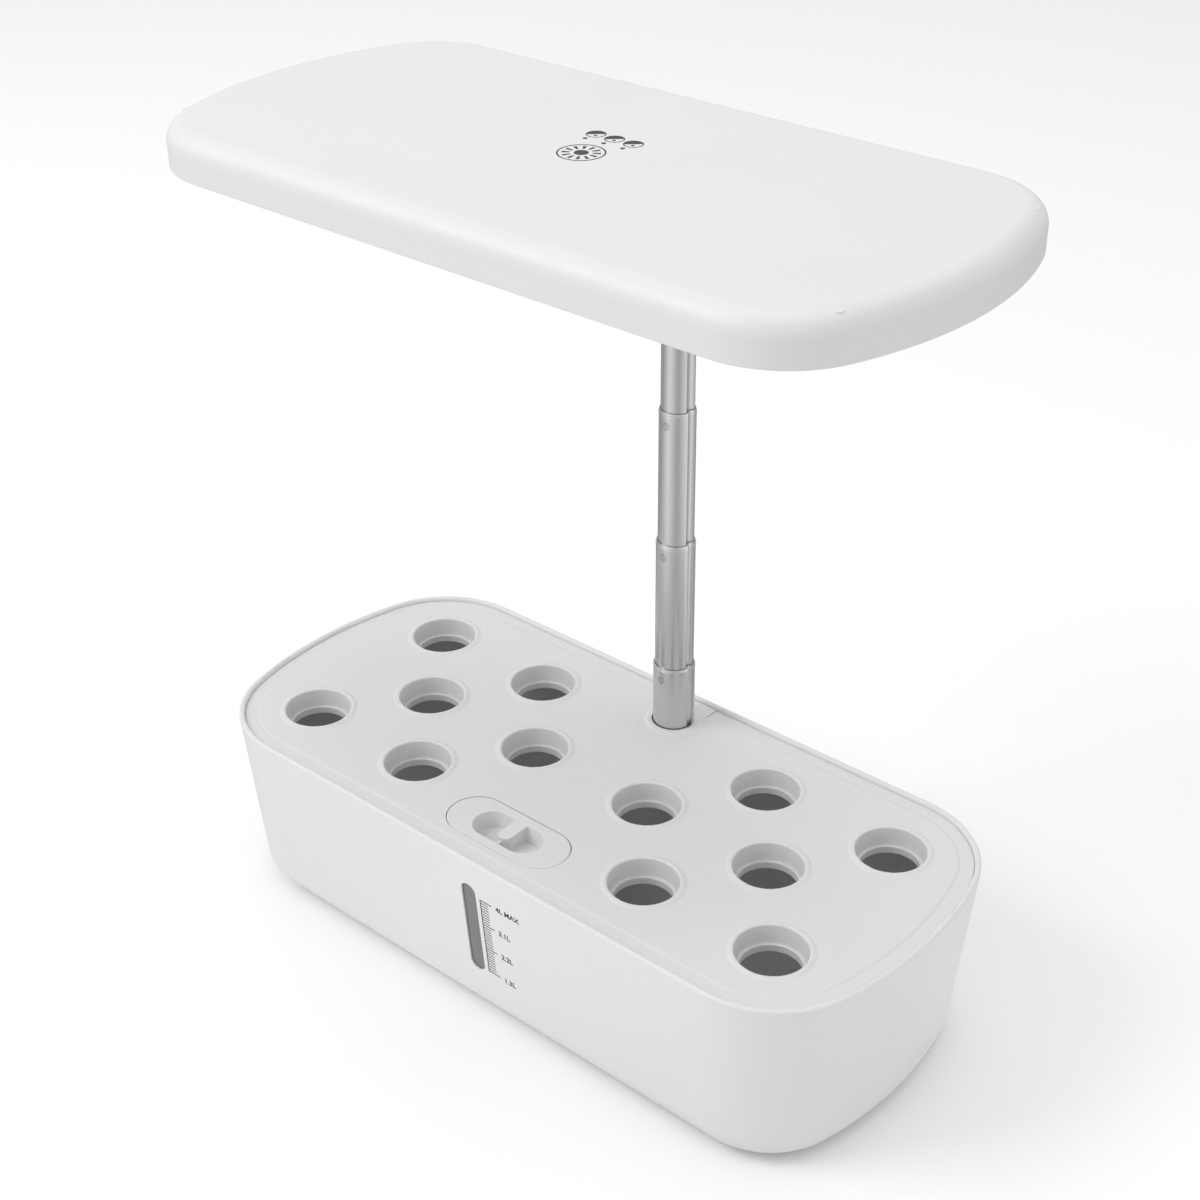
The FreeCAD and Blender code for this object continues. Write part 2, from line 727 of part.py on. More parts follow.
def grooved(name, radius, cut_radius, low, high):
    """A round bar with the guide groove down its +X side."""
    height = "(%s) - (%s)" % (high, low)
    bar = cylinder(name + "_bar", radius, height, "0", "pole_centre", low)
    tool = cylinder(name + "_groove", cut_radius, height, "groove_centre", "pole_centre", low)
    return cut(name + "_grooved", bar, tool)


def pole_tube(section):
    name = "pole_tube_%d" % section
    low, high = tube_foot(section), tube_head(section)
    outside = grooved(name + "_out", tube_radius(section), groove(section), low, high)
    inside = grooved(name + "_in", tube_radius(section) + " - pole_wall", groove(section) + " + pole_wall",
                     low, high)
    tube = cut(name + "_wall", outside, inside)
    if section > SECTIONS[0]:
        pin_hole = cylinder(name + "_pin_hole", "pin_radius", tube_radius(section), "0",
                            "pole_centre - pole_radius / 2", rim_level(section) + " - pin_drop", TOWARDS_FRONT)
        tube = cut(name + "_drilled", tube, pin_hole)
    return node(tube, name)


def guide_collar(section):
    """The necked ring on a section's upper end, with a ridge that runs in the thinner section's groove."""
    name = "guide_collar_%d" % section
    low = rim_level(section)
    high = low + " + collar_height"
    rim = cylinder(name + "_rim", tube_radius(section) + " + collar_proud", "collar_rim", "0",
                   "pole_centre", low)
    neck = cone(name + "_neck", tube_radius(section), tube_radius(section - 1) + " + collar_lip",
                "collar_height - collar_rim", "0", "pole_centre", low + " + collar_rim")
    outer_groove = cylinder(name + "_outer_groove", groove(section), "collar_height", "groove_centre",
                            "pole_centre", low)
    ring = cut(name + "_ring", fuse(name + "_solid", rim, neck), outer_groove)
    bore = grooved(name + "_bore", tube_radius(section - 1) + " + collar_play",
                   groove(section - 1) + " - collar_play", low, high)
    return node(cut(name, ring, bore), name)


def collar_pin(section):
    """The round pin through the front of a section's wall, under its collar."""
    name = "collar_pin_%d" % section
    level = rim_level(section) + " - pin_drop"
    reach = "4 * pin_radius"
    rod = cylinder(name + "_rod", "pin_radius", tube_radius(section) + " + pin_radius", "0", "pole_centre",
                   level, TOWARDS_FRONT)
    outside = cylinder(name + "_outside", tube_radius(section) + " + pin_proud", reach, "0", "pole_centre",
                       "%s - (%s) / 2" % (level, reach))
    inside = cylinder(name + "_inside", tube_radius(section) + " - pole_wall", reach, "0", "pole_centre",
                      "%s - (%s) / 2" % (level, reach))
    return node(cut(name, common(name + "_head", rod, outside), inside), name)


def friction_bush(section):
    """The nylon bush round a section's lower end that rubs inside the next section."""
    name = "friction_bush_%d" % section
    low = tube_foot(section)
    high = "%s + friction_length" % low
    outside = grooved(name + "_out", tube_radius(section + 1) + " - pole_wall - sleeve_play",
                      groove(section + 1) + " + pole_wall + sleeve_play", low, high)
    inside = grooved(name + "_in", tube_radius(section), groove(section), low, high)
    return node(cut(name, outside, inside), name)


def pole_socket():
    """The post that holds the lowest section, with the flush seat that fills the deck's notch."""
    post = cylinder("socket_post", "socket_radius", "socket_top - (%s)" % INNER_FLOOR, "0", "pole_centre",
                    INNER_FLOOR)
    seat = block("socket_seat", "2 * seat_half_width", "seat_length", "deck_top - seat_bottom", "0",
                 "pole_centre + seat_set_back", "seat_bottom")
    foot = block("socket_foot", "socket_foot_length", "socket_foot_width", "socket_foot_height", "0",
                 "pole_centre - 2", INNER_FLOOR)
    body = fuse("socket_body", post, seat, foot)
    bore = grooved("socket_bore", tube_radius(4) + " + socket_play", groove(4) + " - socket_play",
                   "socket_floor", "rim_top")
    lead = cylinder("socket_lead_hole", "lead_hole", "socket_floor", "0", "pole_centre", "socket_floor / 2")
    side = cylinder("socket_side_hole", "lead_hole", "2 * socket_radius", "-2 * socket_radius", "pole_centre",
                    "socket_floor / 2", TO_RIGHT)
    holes = []
    for index, (x, y) in enumerate(socket_screw_places()):
        holes.append(cylinder("socket_screw_hole_%d" % index, "screw_radius", "screw_length + housing_floor",
                              x, y))
    drilled = cut("socket_drilled", body, fuse("socket_holes", bore, lead, side, *holes))
    limit = tub("socket_limit", "housing_wall + socket_play", INNER_FLOOR, "bottom_round - housing_wall")
    return node(common("pole_socket", drilled, limit), "pole_socket")


def screws(name, places, level, up=True):
    """Pan-head screws: a head, and a shank that enters the part above or below it."""
    made = []
    for index, (x, y) in enumerate(places):
        head = cylinder("%s_head_%d" % (name, index), "screw_head_radius", "screw_head_height", x, y, level)
        shank_low = level + " + screw_head_height" if up else level + " - screw_length"
        shank = cylinder("%s_shank_%d" % (name, index), "screw_radius", "screw_length", x, y, shank_low)
        made.append(fuse("%s_screw_%d" % (name, index), head, shank))
    return node(group(name, made), name)


# Lamp
def lamp_form(name, inset, fillet):
    """A solid of the lamp's plate form, set in from the outside except at its lower face."""
    body = new_body(name)
    plan = plan_outline(new_sketch(body, name + "_plan", "XY_Plane", "lamp_under"), "lamp", inset)
    pad(body, plan, "lamp_height - (%s)" % inset)
    round_edges(body, name + "_round", fillet, flat_at("lamp_under + lamp_height - (%s)" % inset))
    return body


def lamp_cover():
    body = lamp_form("lamp_cover", "0", "lamp_round")
    round_edges(body, "cover_lower_round", "lamp_edge_round", flat_at("lamp_under"))
    subtract(body, lamp_form("lamp_room", "lamp_wall", "lamp_round - lamp_wall"))
    bosses = circles(new_sketch(body, "cover_bosses", "XY_Plane", "lamp_under + bezel_thick"),
                     lamp_screw_places(), "boss_radius")
    pad(body, bosses, "lamp_height - lamp_wall / 2 - bezel_thick")
    holes = circles(new_sketch(body, "cover_boss_holes", "XY_Plane", "lamp_under + bezel_thick"),
                    lamp_screw_places(), "screw_radius")
    pocket(body, holes, "screw_length", flip=True)
    return node(body, "lamp_cover")


def lamp_screw_places():
    corners = [("%d * lamp_screw_across" % i, "%d * lamp_screw_along" % j) for i in (-1, 1) for j in (-1, 1)]
    return corners + [("%d * back_screw_across" % i, "back_screw_along") for i in (-1, 1)]


def lamp_bezel():
    body = new_body("lamp_bezel")
    plan = plan_outline(new_sketch(body, "bezel_plan", "XY_Plane", "lamp_under"), "lamp",
                        "lamp_wall + bezel_gap")
    pad(body, plan, "bezel_thick")
    window = rectangle(new_sketch(body, "light_window", "XY_Plane", "lamp_under + bezel_thick"),
                       "-light_length / 2", "light_length / 2",
                       "light_centre - light_width / 2", "light_centre + light_width / 2")
    pocket(body, window, "bezel_thick")
    shanks = circles(new_sketch(body, "bezel_holes", "XY_Plane", "lamp_under + bezel_thick"),
                     lamp_screw_places(), "screw_radius + screw_play")
    pocket(body, shanks, "bezel_thick")
    heads = circles(new_sketch(body, "bezel_heads", "XY_Plane", "lamp_under + screw_head_height"),
                    lamp_screw_places(), "screw_head_radius + screw_play")
    pocket(body, heads, "screw_head_height")
    pole = circles(new_sketch(body, "bezel_pole_hole", "XY_Plane", "lamp_under + bezel_thick"),
                   [("0", "pole_centre")], "pole_radius - pole_wall")
    pocket(body, pole, "bezel_thick")
    return node(body, "lamp_bezel")


def light_unit():
    """Diffuser, circuit board and the rows of light chips between them."""
    over = "lamp_under + bezel_thick"
    diffuser = block("diffuser", "light_length + 2 * diffuser_lap", "light_width + 2 * diffuser_lap",
                     "diffuser_thick", "0", "light_centre", over)
    node(diffuser, "diffuser")
    board = block("light_board", "light_length - 6", "light_width - 6", "board_thick", "0", "light_centre",
                  "lamp_under + board_level")
    node(board, "light_board")
    posts = []
    for i in (-1, 1):
        for j in (-1, 1):
            posts.append(cylinder("board_post_%d_%d" % (i + 1, j + 1), "post_radius",
                                  "lamp_height - lamp_wall - board_level - board_thick",
                                  "%d * (light_length / 2 - post_across)" % i,
                                  "light_centre + %d * (light_width / 2 - post_along)" % j,
                                  "lamp_under + board_level + board_thick"))
    node(group("board_posts", posts), "board_posts")
    kinds = {"white_chips": [], "red_chips": [], "blue_chips": []}
    for i in CHIP_COLUMNS:
        for j in CHIP_ROWS:
            kind = "white_chips"
            if (i + 2 * j) % RED_EVERY == 0:
                kind = "red_chips"
            elif (i + 2 * j) % BLUE_EVERY == BLUE_START:
                kind = "blue_chips"
            name = "chip_%d_%d" % (i - CHIP_COLUMNS[0], j - CHIP_ROWS[0])
            kinds[kind].append(block(name, "chip_side", "chip_side", "chip_height",
                                     "(%d + 0.5) * chip_pitch" % i, "light_centre + (%d + 0.5) * chip_row" % j,
                                     "lamp_under + board_level - chip_height"))
    for kind, chips in kinds.items():
        node(group(kind, chips), kind)
    touch = block("touch_board", "touch_board_length", "touch_board_width", "board_thick", "0",
                  "touch_board_along", "lamp_under + lamp_height - lamp_wall - board_thick")
    node(touch, "touch_board")


def lamp_neck():
    """The socket under the lamp that the thinnest section fits into."""
    horn = cone("neck_horn", "neck_foot_radius", "neck_head_radius", "neck_height", "0", "pole_centre",
                "lamp_under - neck_height")
    bore = cylinder("neck_bore", "pole_radius + socket_play", "neck_height", "0", "pole_centre",
                    "lamp_under - neck_height")
    return node(cut("lamp_neck", horn, bore), "lamp_neck")


def lamp_lead():
    """The lamp's lead: up inside the thinnest section, round a bend and on to the light board."""
    level = "lamp_under + board_level + board_thick + lead_radius"
    rise = cylinder("lead_rise", "lead_radius", "%s - lead_bend - (%s)" % (level, tube_foot(1)), "0",
                    "pole_centre", tube_foot(1))
    bend = doc.addObject("Part::Torus", "lead_bend_arc")
    bind(bend, Radius1="lead_bend", Radius2="lead_radius")
    bend.Angle3 = 90
    place(bend, "0", "pole_centre - lead_bend", level + " - lead_bend", ((1, 1, 1), 120))
    run = cylinder("lead_run", "lead_radius", "lead_run", "0", "pole_centre - lead_bend", level, TOWARDS_FRONT)
    return node(fuse("lamp_lead", rise, bend, run), "lamp_lead")


# Power inlet and control board in the dry bay
def power_inlet():
    face = "jack_flange_level + jack_flange"
    flange = cylinder("jack_flange_disc", "jack_radius", "jack_flange", "jack_across", "jack_flange_level",
                      "jack_level", TOWARDS_BACK)
    barrel = cylinder("jack_barrel", "jack_radius - 1", "jack_body", "jack_across",
                      face + " - jack_body", "jack_level", TOWARDS_BACK)
    bore = cylinder("jack_bore_tool", "jack_bore", "jack_depth", "jack_across",
                    face + " - jack_depth", "jack_level", TOWARDS_BACK)
    pin = cylinder("jack_pin", "jack_pin_radius", "jack_depth - 1", "jack_across", face + " - jack_depth",
                   "jack_level", TOWARDS_BACK)
    shell = cut("jack_shell", fuse("jack_outside", flange, barrel), bore)
    node(fuse("power_inlet", shell, pin), "power_inlet")
    nut_place = "jack_flange_level - nut_back"
    nut = cylinder("jack_nut_body", "jack_radius + 1", "nut_thick", "jack_across", nut_place, "jack_level",
                   TOWARDS_BACK)
    hole = cylinder("jack_nut_hole", "jack_radius - 1", "nut_thick", "jack_across", nut_place, "jack_level",
                    TOWARDS_BACK)
    node(cut("jack_nut", nut, hole), "jack_nut")
    board = block("control_board", "board_thick", "control_board_width", "control_board_height",
                  "control_board_across", "bay_front + control_board_width / 2 + board_thick", INNER_FLOOR)
    node(board, "control_board")


# Submersible pump on suction cups at the middle of the tank
def pump():
    left = "pump_across - pump_length / 2"
    middle = "pump_bottom + pump_tall / 2"
    case = block("pump_case", "pump_length", "pump_width", "pump_tall", "pump_across", "pump_along",
                 "pump_bottom")
    chamber = cylinder("pump_chamber", "chamber_radius", "chamber_depth", left, "pump_along", middle, TO_RIGHT)
    rotor_room = cylinder("pump_rotor_room", "rotor_radius + rotor_play",
                          "rotor_length + chamber_depth + 1", left, "pump_along", middle, TO_RIGHT)
    spout = cylinder("pump_spout", "spout_radius", "spout_height", left + " + chamber_depth / 2",
                     "pump_along", "pump_bottom + pump_tall")
    spout_bore = cylinder("pump_spout_bore", "spout_bore", "spout_height + pump_tall / 2",
                          left + " + chamber_depth / 2", "pump_along", middle)
    solid = fuse("pump_outside", case, spout)
    room = fuse("pump_inside", chamber, rotor_room, spout_bore)
    shaft_hole = cylinder("pump_shaft_hole", "shaft_radius", "shaft_length", left, "pump_along", middle,
                          TO_RIGHT)
    node(cut("pump_body", solid, fuse("pump_rooms", room, shaft_hole)), "pump_body")
    cover = block("pump_cover_plate", "cover_thick", "pump_width", "pump_tall", left + " - cover_thick / 2",
                  "pump_along", "pump_bottom")
    slots = []
    for index in range(5):
        low = middle + " - cover_slot_length / 2" if index != 2 else middle + " + hub_radius"
        slots.append(block("pump_cover_slot_%d" % index, "2 * cover_thick", "cover_slot_width",
                           "cover_slot_length", left + " - cover_thick / 2",
                           "pump_along + %d * cover_slot_pitch" % (index - 2), low))
    node(cut("pump_cover", cover, fuse("pump_cover_slots", *slots)), "pump_cover")
    shaft = cylinder("pump_shaft", "shaft_radius", "shaft_length", left, "pump_along", middle, TO_RIGHT)
    node(shaft, "pump_shaft")
    rotor = cylinder("impeller_rotor", "rotor_radius", "rotor_length", left + " + chamber_depth", "pump_along",
                     middle, TO_RIGHT)
    hub = cylinder("impeller_hub", "hub_radius", "chamber_depth - 1", left + " + 1", "pump_along", middle,
                   TO_RIGHT)
    blades = [hub, rotor]
    for turn in (0, 90):
        blade = doc.addObject("Part::Box", "impeller_blade_%d" % turn)
        bind(blade, Length="chamber_depth - 2.5", Width="2 * blade_radius", Height="blade_thick")
        blade.Placement = FreeCAD.Placement(FreeCAD.Vector(), FreeCAD.Rotation(FreeCAD.Vector(1, 0, 0), turn))
        reach = ("pump_along - blade_radius", middle + " - blade_thick / 2")
        if turn:
            reach = ("pump_along + blade_thick / 2", middle + " - blade_radius")
        blades.append(place(blade, left + " + 1.5", *reach, ((1, 0, 0), turn)))
    hole = cylinder("impeller_hole", "shaft_radius + shaft_play", "shaft_length", left, "pump_along",
                    middle, TO_RIGHT)
    node(cut("impeller", fuse("impeller_solid", *blades), hole), "impeller")
    cups = []
    for i in (-1, 1):
        for j in (-1, 1):
            cups.append(cone("cup_%d_%d" % (i + 1, j + 1), "cup_radius", "cup_neck",
                             "pump_bottom - (%s)" % TANK_FLOOR, "pump_across + %d * cup_across" % i,
                             "pump_along + %d * cup_along" % j, TANK_FLOOR))
    node(group("suction_cups", cups), "suction_cups")
    pump_back = "pump_along + pump_width / 2"
    lead = cylinder("pump_lead", "lead_radius", "bay_front + control_board_width / 2 - (%s)" % pump_back,
                    LEAD_X, pump_back, LEAD_Z, TOWARDS_BACK)
    node(lead, "pump_lead")
    plug = cylinder("grommet_plug", "grommet_radius - grommet_groove", "tank_wall", LEAD_X,
                    "bay_front - tank_wall", LEAD_Z, TOWARDS_BACK)
    lip = cylinder("grommet_flange", "grommet_radius", "grommet_lip", LEAD_X,
                   "bay_front - tank_wall - grommet_lip", LEAD_Z, TOWARDS_BACK)
    lead_way = cylinder("grommet_hole", "lead_radius", CLEAR, LEAD_X, "bay_front - %s / 2" % CLEAR, LEAD_Z,
                        TOWARDS_BACK)
    node(cut("lead_grommet", fuse("grommet_solid", plug, lip), lead_way), "lead_grommet")


outer_housing()
rubber_feet()
inner_tank()
level_window()
planting_deck()
filler_lid()
pole_socket()
for section in SECTIONS:
    pole_tube(section)
for section in SECTIONS[1:]:
    guide_collar(section)
for section in SECTIONS[:-1]:
    friction_bush(section)
for section in SECTIONS[1:]:
    collar_pin(section)
screws("socket_screws", socket_screw_places(), "foot_height")
lamp_cover()
lamp_bezel()
light_unit()
lamp_neck()
lamp_lead()
screws("lamp_screws", lamp_screw_places(), "lamp_under")
power_inlet()
pump()

doc.recompute()
for obj in doc.Objects:
    if "Invalid" in obj.State or "Error" in obj.State:
        raise RuntimeError("%s did not build: %s" % (obj.Name, obj.State))
for obj in nodes:
    if obj.Shape.isNull() or not obj.Shape.isValid() or not obj.Shape.Solids:
        raise RuntimeError("%s has no valid solid" % obj.Label)

os.makedirs("parts", exist_ok=True)
for obj in nodes:
    obj.Shape.exportStep("parts/%s.step" % obj.Label)
    box = obj.Shape.BoundBox
    print("%-18s %d solids %10.0f mm3  x %.1f %.1f  y %.1f %.1f  z %.1f %.1f" % (
        obj.Label, len(obj.Shape.Solids), obj.Shape.Volume, box.XMin, box.XMax, box.YMin, box.YMax,
        box.ZMin, box.ZMax))
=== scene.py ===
import math

import bmesh
import bpy
from mathutils import Matrix, Vector


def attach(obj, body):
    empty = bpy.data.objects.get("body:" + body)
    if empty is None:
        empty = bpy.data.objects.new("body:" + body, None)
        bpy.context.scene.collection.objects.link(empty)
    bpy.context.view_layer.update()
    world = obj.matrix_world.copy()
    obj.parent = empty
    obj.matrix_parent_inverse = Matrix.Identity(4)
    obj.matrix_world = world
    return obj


# Looks of the countertop hydroponic garden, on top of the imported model. Metres, the model's own frame:
# +Z up, +X along the tub, -Y the front with the level gauge.

MM = 0.001

# Photograph's camera, fitted to the hole rims, the outlines and the pole
PHOTO_SIDE = 1200.0
SENSOR = 36.0
FOCAL_PIXELS = 2040.3
CAMERA_AZIMUTH = 41.12
CAMERA_ELEVATION = 31.03
CAMERA_ROLL = -0.45
CAMERA_PLACE = Vector((550.4, -621.75, 702.63)) * MM

# The tub's front wall and the lamp's top, which carry the printed marks, and the pole's axis
RIM_TOP = 102.0
HALF_WIDTH = 90.4
WALL_SLOPE = math.radians(5.05)
LAMP_TOP = 422.2
POLE_BACK = 66.2

# How far the prints are set off their surface, their thickness, half of a letter's thickness, and the
# height of a capital as a share of the type size
PRINT_PROUD = 0.04
PRINT_THICK = 0.03
LETTER_HALF = 0.015
CAPITAL_SHARE = 0.73

# How far a pin's ring of painted shade sinks into its tube and stands out of it
SHADE_RING_SUNK = -0.02
SHADE_RING_PROUD = 0.05

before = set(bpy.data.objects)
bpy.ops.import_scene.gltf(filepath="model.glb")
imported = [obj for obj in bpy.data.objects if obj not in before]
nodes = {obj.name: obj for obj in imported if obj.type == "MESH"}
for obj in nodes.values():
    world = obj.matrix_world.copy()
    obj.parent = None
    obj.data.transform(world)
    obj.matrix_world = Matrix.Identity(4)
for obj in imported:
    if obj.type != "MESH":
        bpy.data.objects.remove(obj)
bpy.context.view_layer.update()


# Materials
def new_material(name):
    mat = bpy.data.materials.new(name)
    mat.use_nodes = True
    tree = mat.node_tree
    return mat, tree, tree.nodes["Principled BSDF"]


def place_texture(tree, scale=(1, 1, 1)):
    """Coordinates that stay with the piece, in metres, stretched by the given factors."""
    coordinates = tree.nodes.new("ShaderNodeTexCoord")
    mapping = tree.nodes.new("ShaderNodeMapping")
    mapping.inputs["Scale"].default_value = scale
    tree.links.new(coordinates.outputs["Object"], mapping.inputs["Vector"])
    return mapping.outputs["Vector"]


def noise(tree, vector, scale, detail=3.0, roughness=0.5):
    texture = tree.nodes.new("ShaderNodeTexNoise")
    texture.inputs["Scale"].default_value = scale
    texture.inputs["Detail"].default_value = detail
    texture.inputs["Roughness"].default_value = roughness
    tree.links.new(vector, texture.inputs["Vector"])
    return texture.outputs["Fac"]


def spread(tree, source, low, high, start=0.3, stop=0.7):
    """Turn a noise value into a range of numbers."""
    node = tree.nodes.new("ShaderNodeMapRange")
    node.inputs["From Min"].default_value = start
    node.inputs["From Max"].default_value = stop
    node.inputs["To Min"].default_value = low
    node.inputs["To Max"].default_value = high
    tree.links.new(source, node.inputs["Value"])
    return node.outputs["Result"]


def shades(tree, source, dark, light, start=0.3, stop=0.7):
    """Turn a noise value into a colour between two shades."""
    ramp = tree.nodes.new("ShaderNodeValToRGB")
    ramp.color_ramp.elements[0].position = start
    ramp.color_ramp.elements[0].color = (*dark, 1)
    ramp.color_ramp.elements[1].position = stop
    ramp.color_ramp.elements[1].color = (*light, 1)
    tree.links.new(source, ramp.inputs["Fac"])
    return ramp.outputs["Color"]


def bump(tree, source, shader, strength, distance):
    node = tree.nodes.new("ShaderNodeBump")
    node.inputs["Strength"].default_value = strength
    node.inputs["Distance"].default_value = distance
    tree.links.new(source, node.inputs["Height"])
    tree.links.new(node.outputs["Normal"], shader.inputs["Normal"])


def moulded(name, colour, tint, roughness, grain=1500.0, relief=0.12):
    """Moulded plastic: slow clouds of colour and gloss over the mould's fine grain."""
    mat, tree, shader = new_material(name)
    vector = place_texture(tree)
    clouds = noise(tree, vector, scale=14.0, detail=4.0)
    dark = tuple(max(c - tint, 0.0) for c in colour)
    tree.links.new(shades(tree, clouds, dark, colour), shader.inputs["Base Color"])
    patches = noise(tree, vector, scale=60.0, detail=5.0)
    tree.links.new(spread(tree, patches, roughness - 0.04, roughness + 0.05), shader.inputs["Roughness"])
    bump(tree, noise(tree, vector, grain, detail=2.0), shader, relief, distance=0.04 * MM)
    shader.inputs["IOR"].default_value = 1.5
    return mat


def drawn_metal(name, colour, roughness, streaks=(1500, 1500, 5), relief=0.03):
    """Drawn tube: fine lengthwise streaks in the gloss and the shade."""
    mat, tree, shader = new_material(name)
    lines = noise(tree, place_texture(tree, streaks), scale=1.0, detail=6.0, roughness=0.6)
    dark = tuple(c * 0.95 for c in colour)
    tree.links.new(shades(tree, lines, dark, colour, start=0.35, stop=0.65), shader.inputs["Base Color"])
    tree.links.new(spread(tree, lines, roughness - 0.02, roughness + 0.04), shader.inputs["Roughness"])
    bump(tree, lines, shader, relief, distance=0.02 * MM)
    shader.inputs["Metallic"].default_value = 1.0
    return mat


def smoked(name, colour, roughness):
    """Clear smoke-grey plastic with faint flow clouds."""
    mat, tree, shader = new_material(name)
    vector = place_texture(tree)
    clouds = noise(tree, vector, scale=45.0)
    dark = tuple(c * 0.86 for c in colour)
    tree.links.new(shades(tree, clouds, dark, colour), shader.inputs["Base Color"])
    tree.links.new(spread(tree, clouds, roughness - 0.03, roughness + 0.05), shader.inputs["Roughness"])
    bump(tree, noise(tree, vector, scale=500.0, detail=2.0), shader, strength=0.04, distance=0.03 * MM)
    shader.inputs["Coat Weight"].default_value = 0.4
    shader.inputs["Coat Roughness"].default_value = 0.12
    return mat


def frosted(name, colour, clear, roughness):
    """Frosted acrylic that lets part of the light through."""
    mat, tree, shader = new_material(name)
    vector = place_texture(tree)
    clouds = noise(tree, vector, scale=30.0)
    dark = tuple(c * 0.95 for c in colour)
    tree.links.new(shades(tree, clouds, dark, colour), shader.inputs["Base Color"])
    tree.links.new(spread(tree, clouds, roughness - 0.05, roughness + 0.05), shader.inputs["Roughness"])
    bump(tree, noise(tree, vector, scale=2500.0, detail=2.0), shader, strength=0.1, distance=0.03 * MM)
    shader.inputs["Transmission Weight"].default_value = clear
    shader.inputs["IOR"].default_value = 1.49
    return mat


def soft_rubber(name, colour):
    mat, tree, shader = new_material(name)
    vector = place_texture(tree)
    dust = noise(tree, vector, scale=220.0, detail=5.0)
    light = tuple(min(c * 1.25 + 0.01, 1.0) for c in colour)
    tree.links.new(shades(tree, dust, colour, light), shader.inputs["Base Color"])
    tree.links.new(spread(tree, dust, 0.62, 0.8), shader.inputs["Roughness"])
    bump(tree, noise(tree, vector, scale=1800.0), shader, strength=0.2, distance=0.06 * MM)
    return mat


def printed(name, colour):
    """Screen-printed ink with a slightly uneven film."""
    mat, tree, shader = new_material(name)
    vector = place_texture(tree)
    film = noise(tree, vector, scale=900.0)
    light = tuple(min(c + 0.02, 1.0) for c in colour)
    tree.links.new(shades(tree, film, colour, light), shader.inputs["Base Color"])
    tree.links.new(spread(tree, film, 0.42, 0.56), shader.inputs["Roughness"])
    bump(tree, film, shader, strength=0.05, distance=0.01 * MM)
    return mat


MATERIALS = {
    "white": moulded("white_shell", (0.73, 0.73, 0.73), tint=0.012, roughness=0.42),
    "deck": moulded("deck_white", (0.71, 0.71, 0.71), tint=0.014, roughness=0.50, grain=1200.0, relief=0.18),
    "lamp": moulded("lamp_white", (0.69, 0.69, 0.69), tint=0.010, roughness=0.46, grain=1500.0, relief=0.15),
    "tank": moulded("tank_grey", (0.42, 0.42, 0.42), tint=0.02, roughness=0.40),
    "window": smoked("window_smoke", (0.115, 0.115, 0.115), roughness=0.16),
    "tube": drawn_metal("drawn_aluminium", (0.63, 0.63, 0.64), roughness=0.30),
    "collar": drawn_metal("rolled_aluminium", (0.68, 0.68, 0.69), roughness=0.22,
                          streaks=(90, 90, 1800), relief=0.05),
    "pin": drawn_metal("pin_steel", (0.50, 0.50, 0.51), roughness=0.30, streaks=(700, 700, 700), relief=0.03),
    # Painted shade: a dark steel that stands for the shadow in the groove round each collar pin
    "pin_shade_ring": drawn_metal("pin_shade_ring", (0.12, 0.12, 0.12), roughness=0.45,
                            streaks=(700, 700, 700), relief=0.03),
    "steel": drawn_metal("turned_steel", (0.62, 0.62, 0.63), roughness=0.24,
                         streaks=(700, 700, 700), relief=0.05),
    "nylon": moulded("natural_nylon", (0.62, 0.61, 0.57), tint=0.03, roughness=0.45),
    "pale_rubber": soft_rubber("pale_rubber", (0.50, 0.50, 0.50)),
    "dark_rubber": soft_rubber("dark_rubber", (0.030, 0.030, 0.032)),
    "mask": moulded("white_solder_mask", (0.78, 0.79, 0.77), tint=0.03, roughness=0.30),
    "green": moulded("green_solder_mask", (0.015, 0.10, 0.035), tint=0.008, roughness=0.28),
    "diffuser": frosted("frosted_acrylic", (0.94, 0.94, 0.95), clear=0.45, roughness=0.32),
    "phosphor": moulded("chip_phosphor", (0.80, 0.66, 0.16), tint=0.10, roughness=0.25),
    "red_chip": moulded("chip_red", (0.45, 0.02, 0.02), tint=0.02, roughness=0.2),
    "blue_chip": moulded("chip_blue", (0.02, 0.05, 0.45), tint=0.01, roughness=0.2),
    "black": moulded("black_plastic", (0.022, 0.022, 0.024), tint=0.006, roughness=0.38),
    "cable": moulded("white_jacket", (0.70, 0.70, 0.69), tint=0.03, roughness=0.48),
    "ink": printed("grey_ink", (0.016, 0.016, 0.018)),
}

FINISH = {
    "outer_housing": "white", "rubber_feet": "pale_rubber", "inner_tank": "tank", "level_window": "window",
    "planting_deck": "deck", "filler_lid": "deck", "pole_socket": "white", "socket_screws": "steel",
    "lamp_cover": "lamp", "lamp_bezel": "lamp", "lamp_neck": "lamp", "diffuser": "diffuser",
    "light_board": "mask", "board_posts": "black", "white_chips": "phosphor", "red_chips": "red_chip",
    "blue_chips": "blue_chip", "touch_board": "green", "lamp_lead": "cable", "lamp_screws": "steel",
    "power_inlet": "black", "jack_nut": "steel", "control_board": "green", "pump_body": "black",
    "pump_cover": "black", "pump_shaft": "steel", "impeller": "black", "suction_cups": "dark_rubber",
    "pump_lead": "cable", "lead_grommet": "dark_rubber",
}
SECTIONS = (1, 2, 3, 4)
for section in SECTIONS:
    FINISH["pole_tube_%d" % section] = "tube"
for section in SECTIONS[1:]:
    FINISH["guide_collar_%d" % section] = "collar"
    FINISH["collar_pin_%d" % section] = "pin"
for section in SECTIONS[:-1]:
    FINISH["friction_bush_%d" % section] = "nylon"

# The real tank doesn't glow: this lifts the dark of the pod holes to the photograph's grey
TANK_GLOW = 0.045
tank_shader = MATERIALS["tank"].node_tree.nodes["Principled BSDF"]
tank_shader.inputs["Emission Color"].default_value = (1, 1, 1, 1)
tank_shader.inputs["Emission Strength"].default_value = TANK_GLOW

for name, obj in nodes.items():
    obj.data.materials.clear()
    obj.data.materials.append(MATERIALS[FINISH[name]])


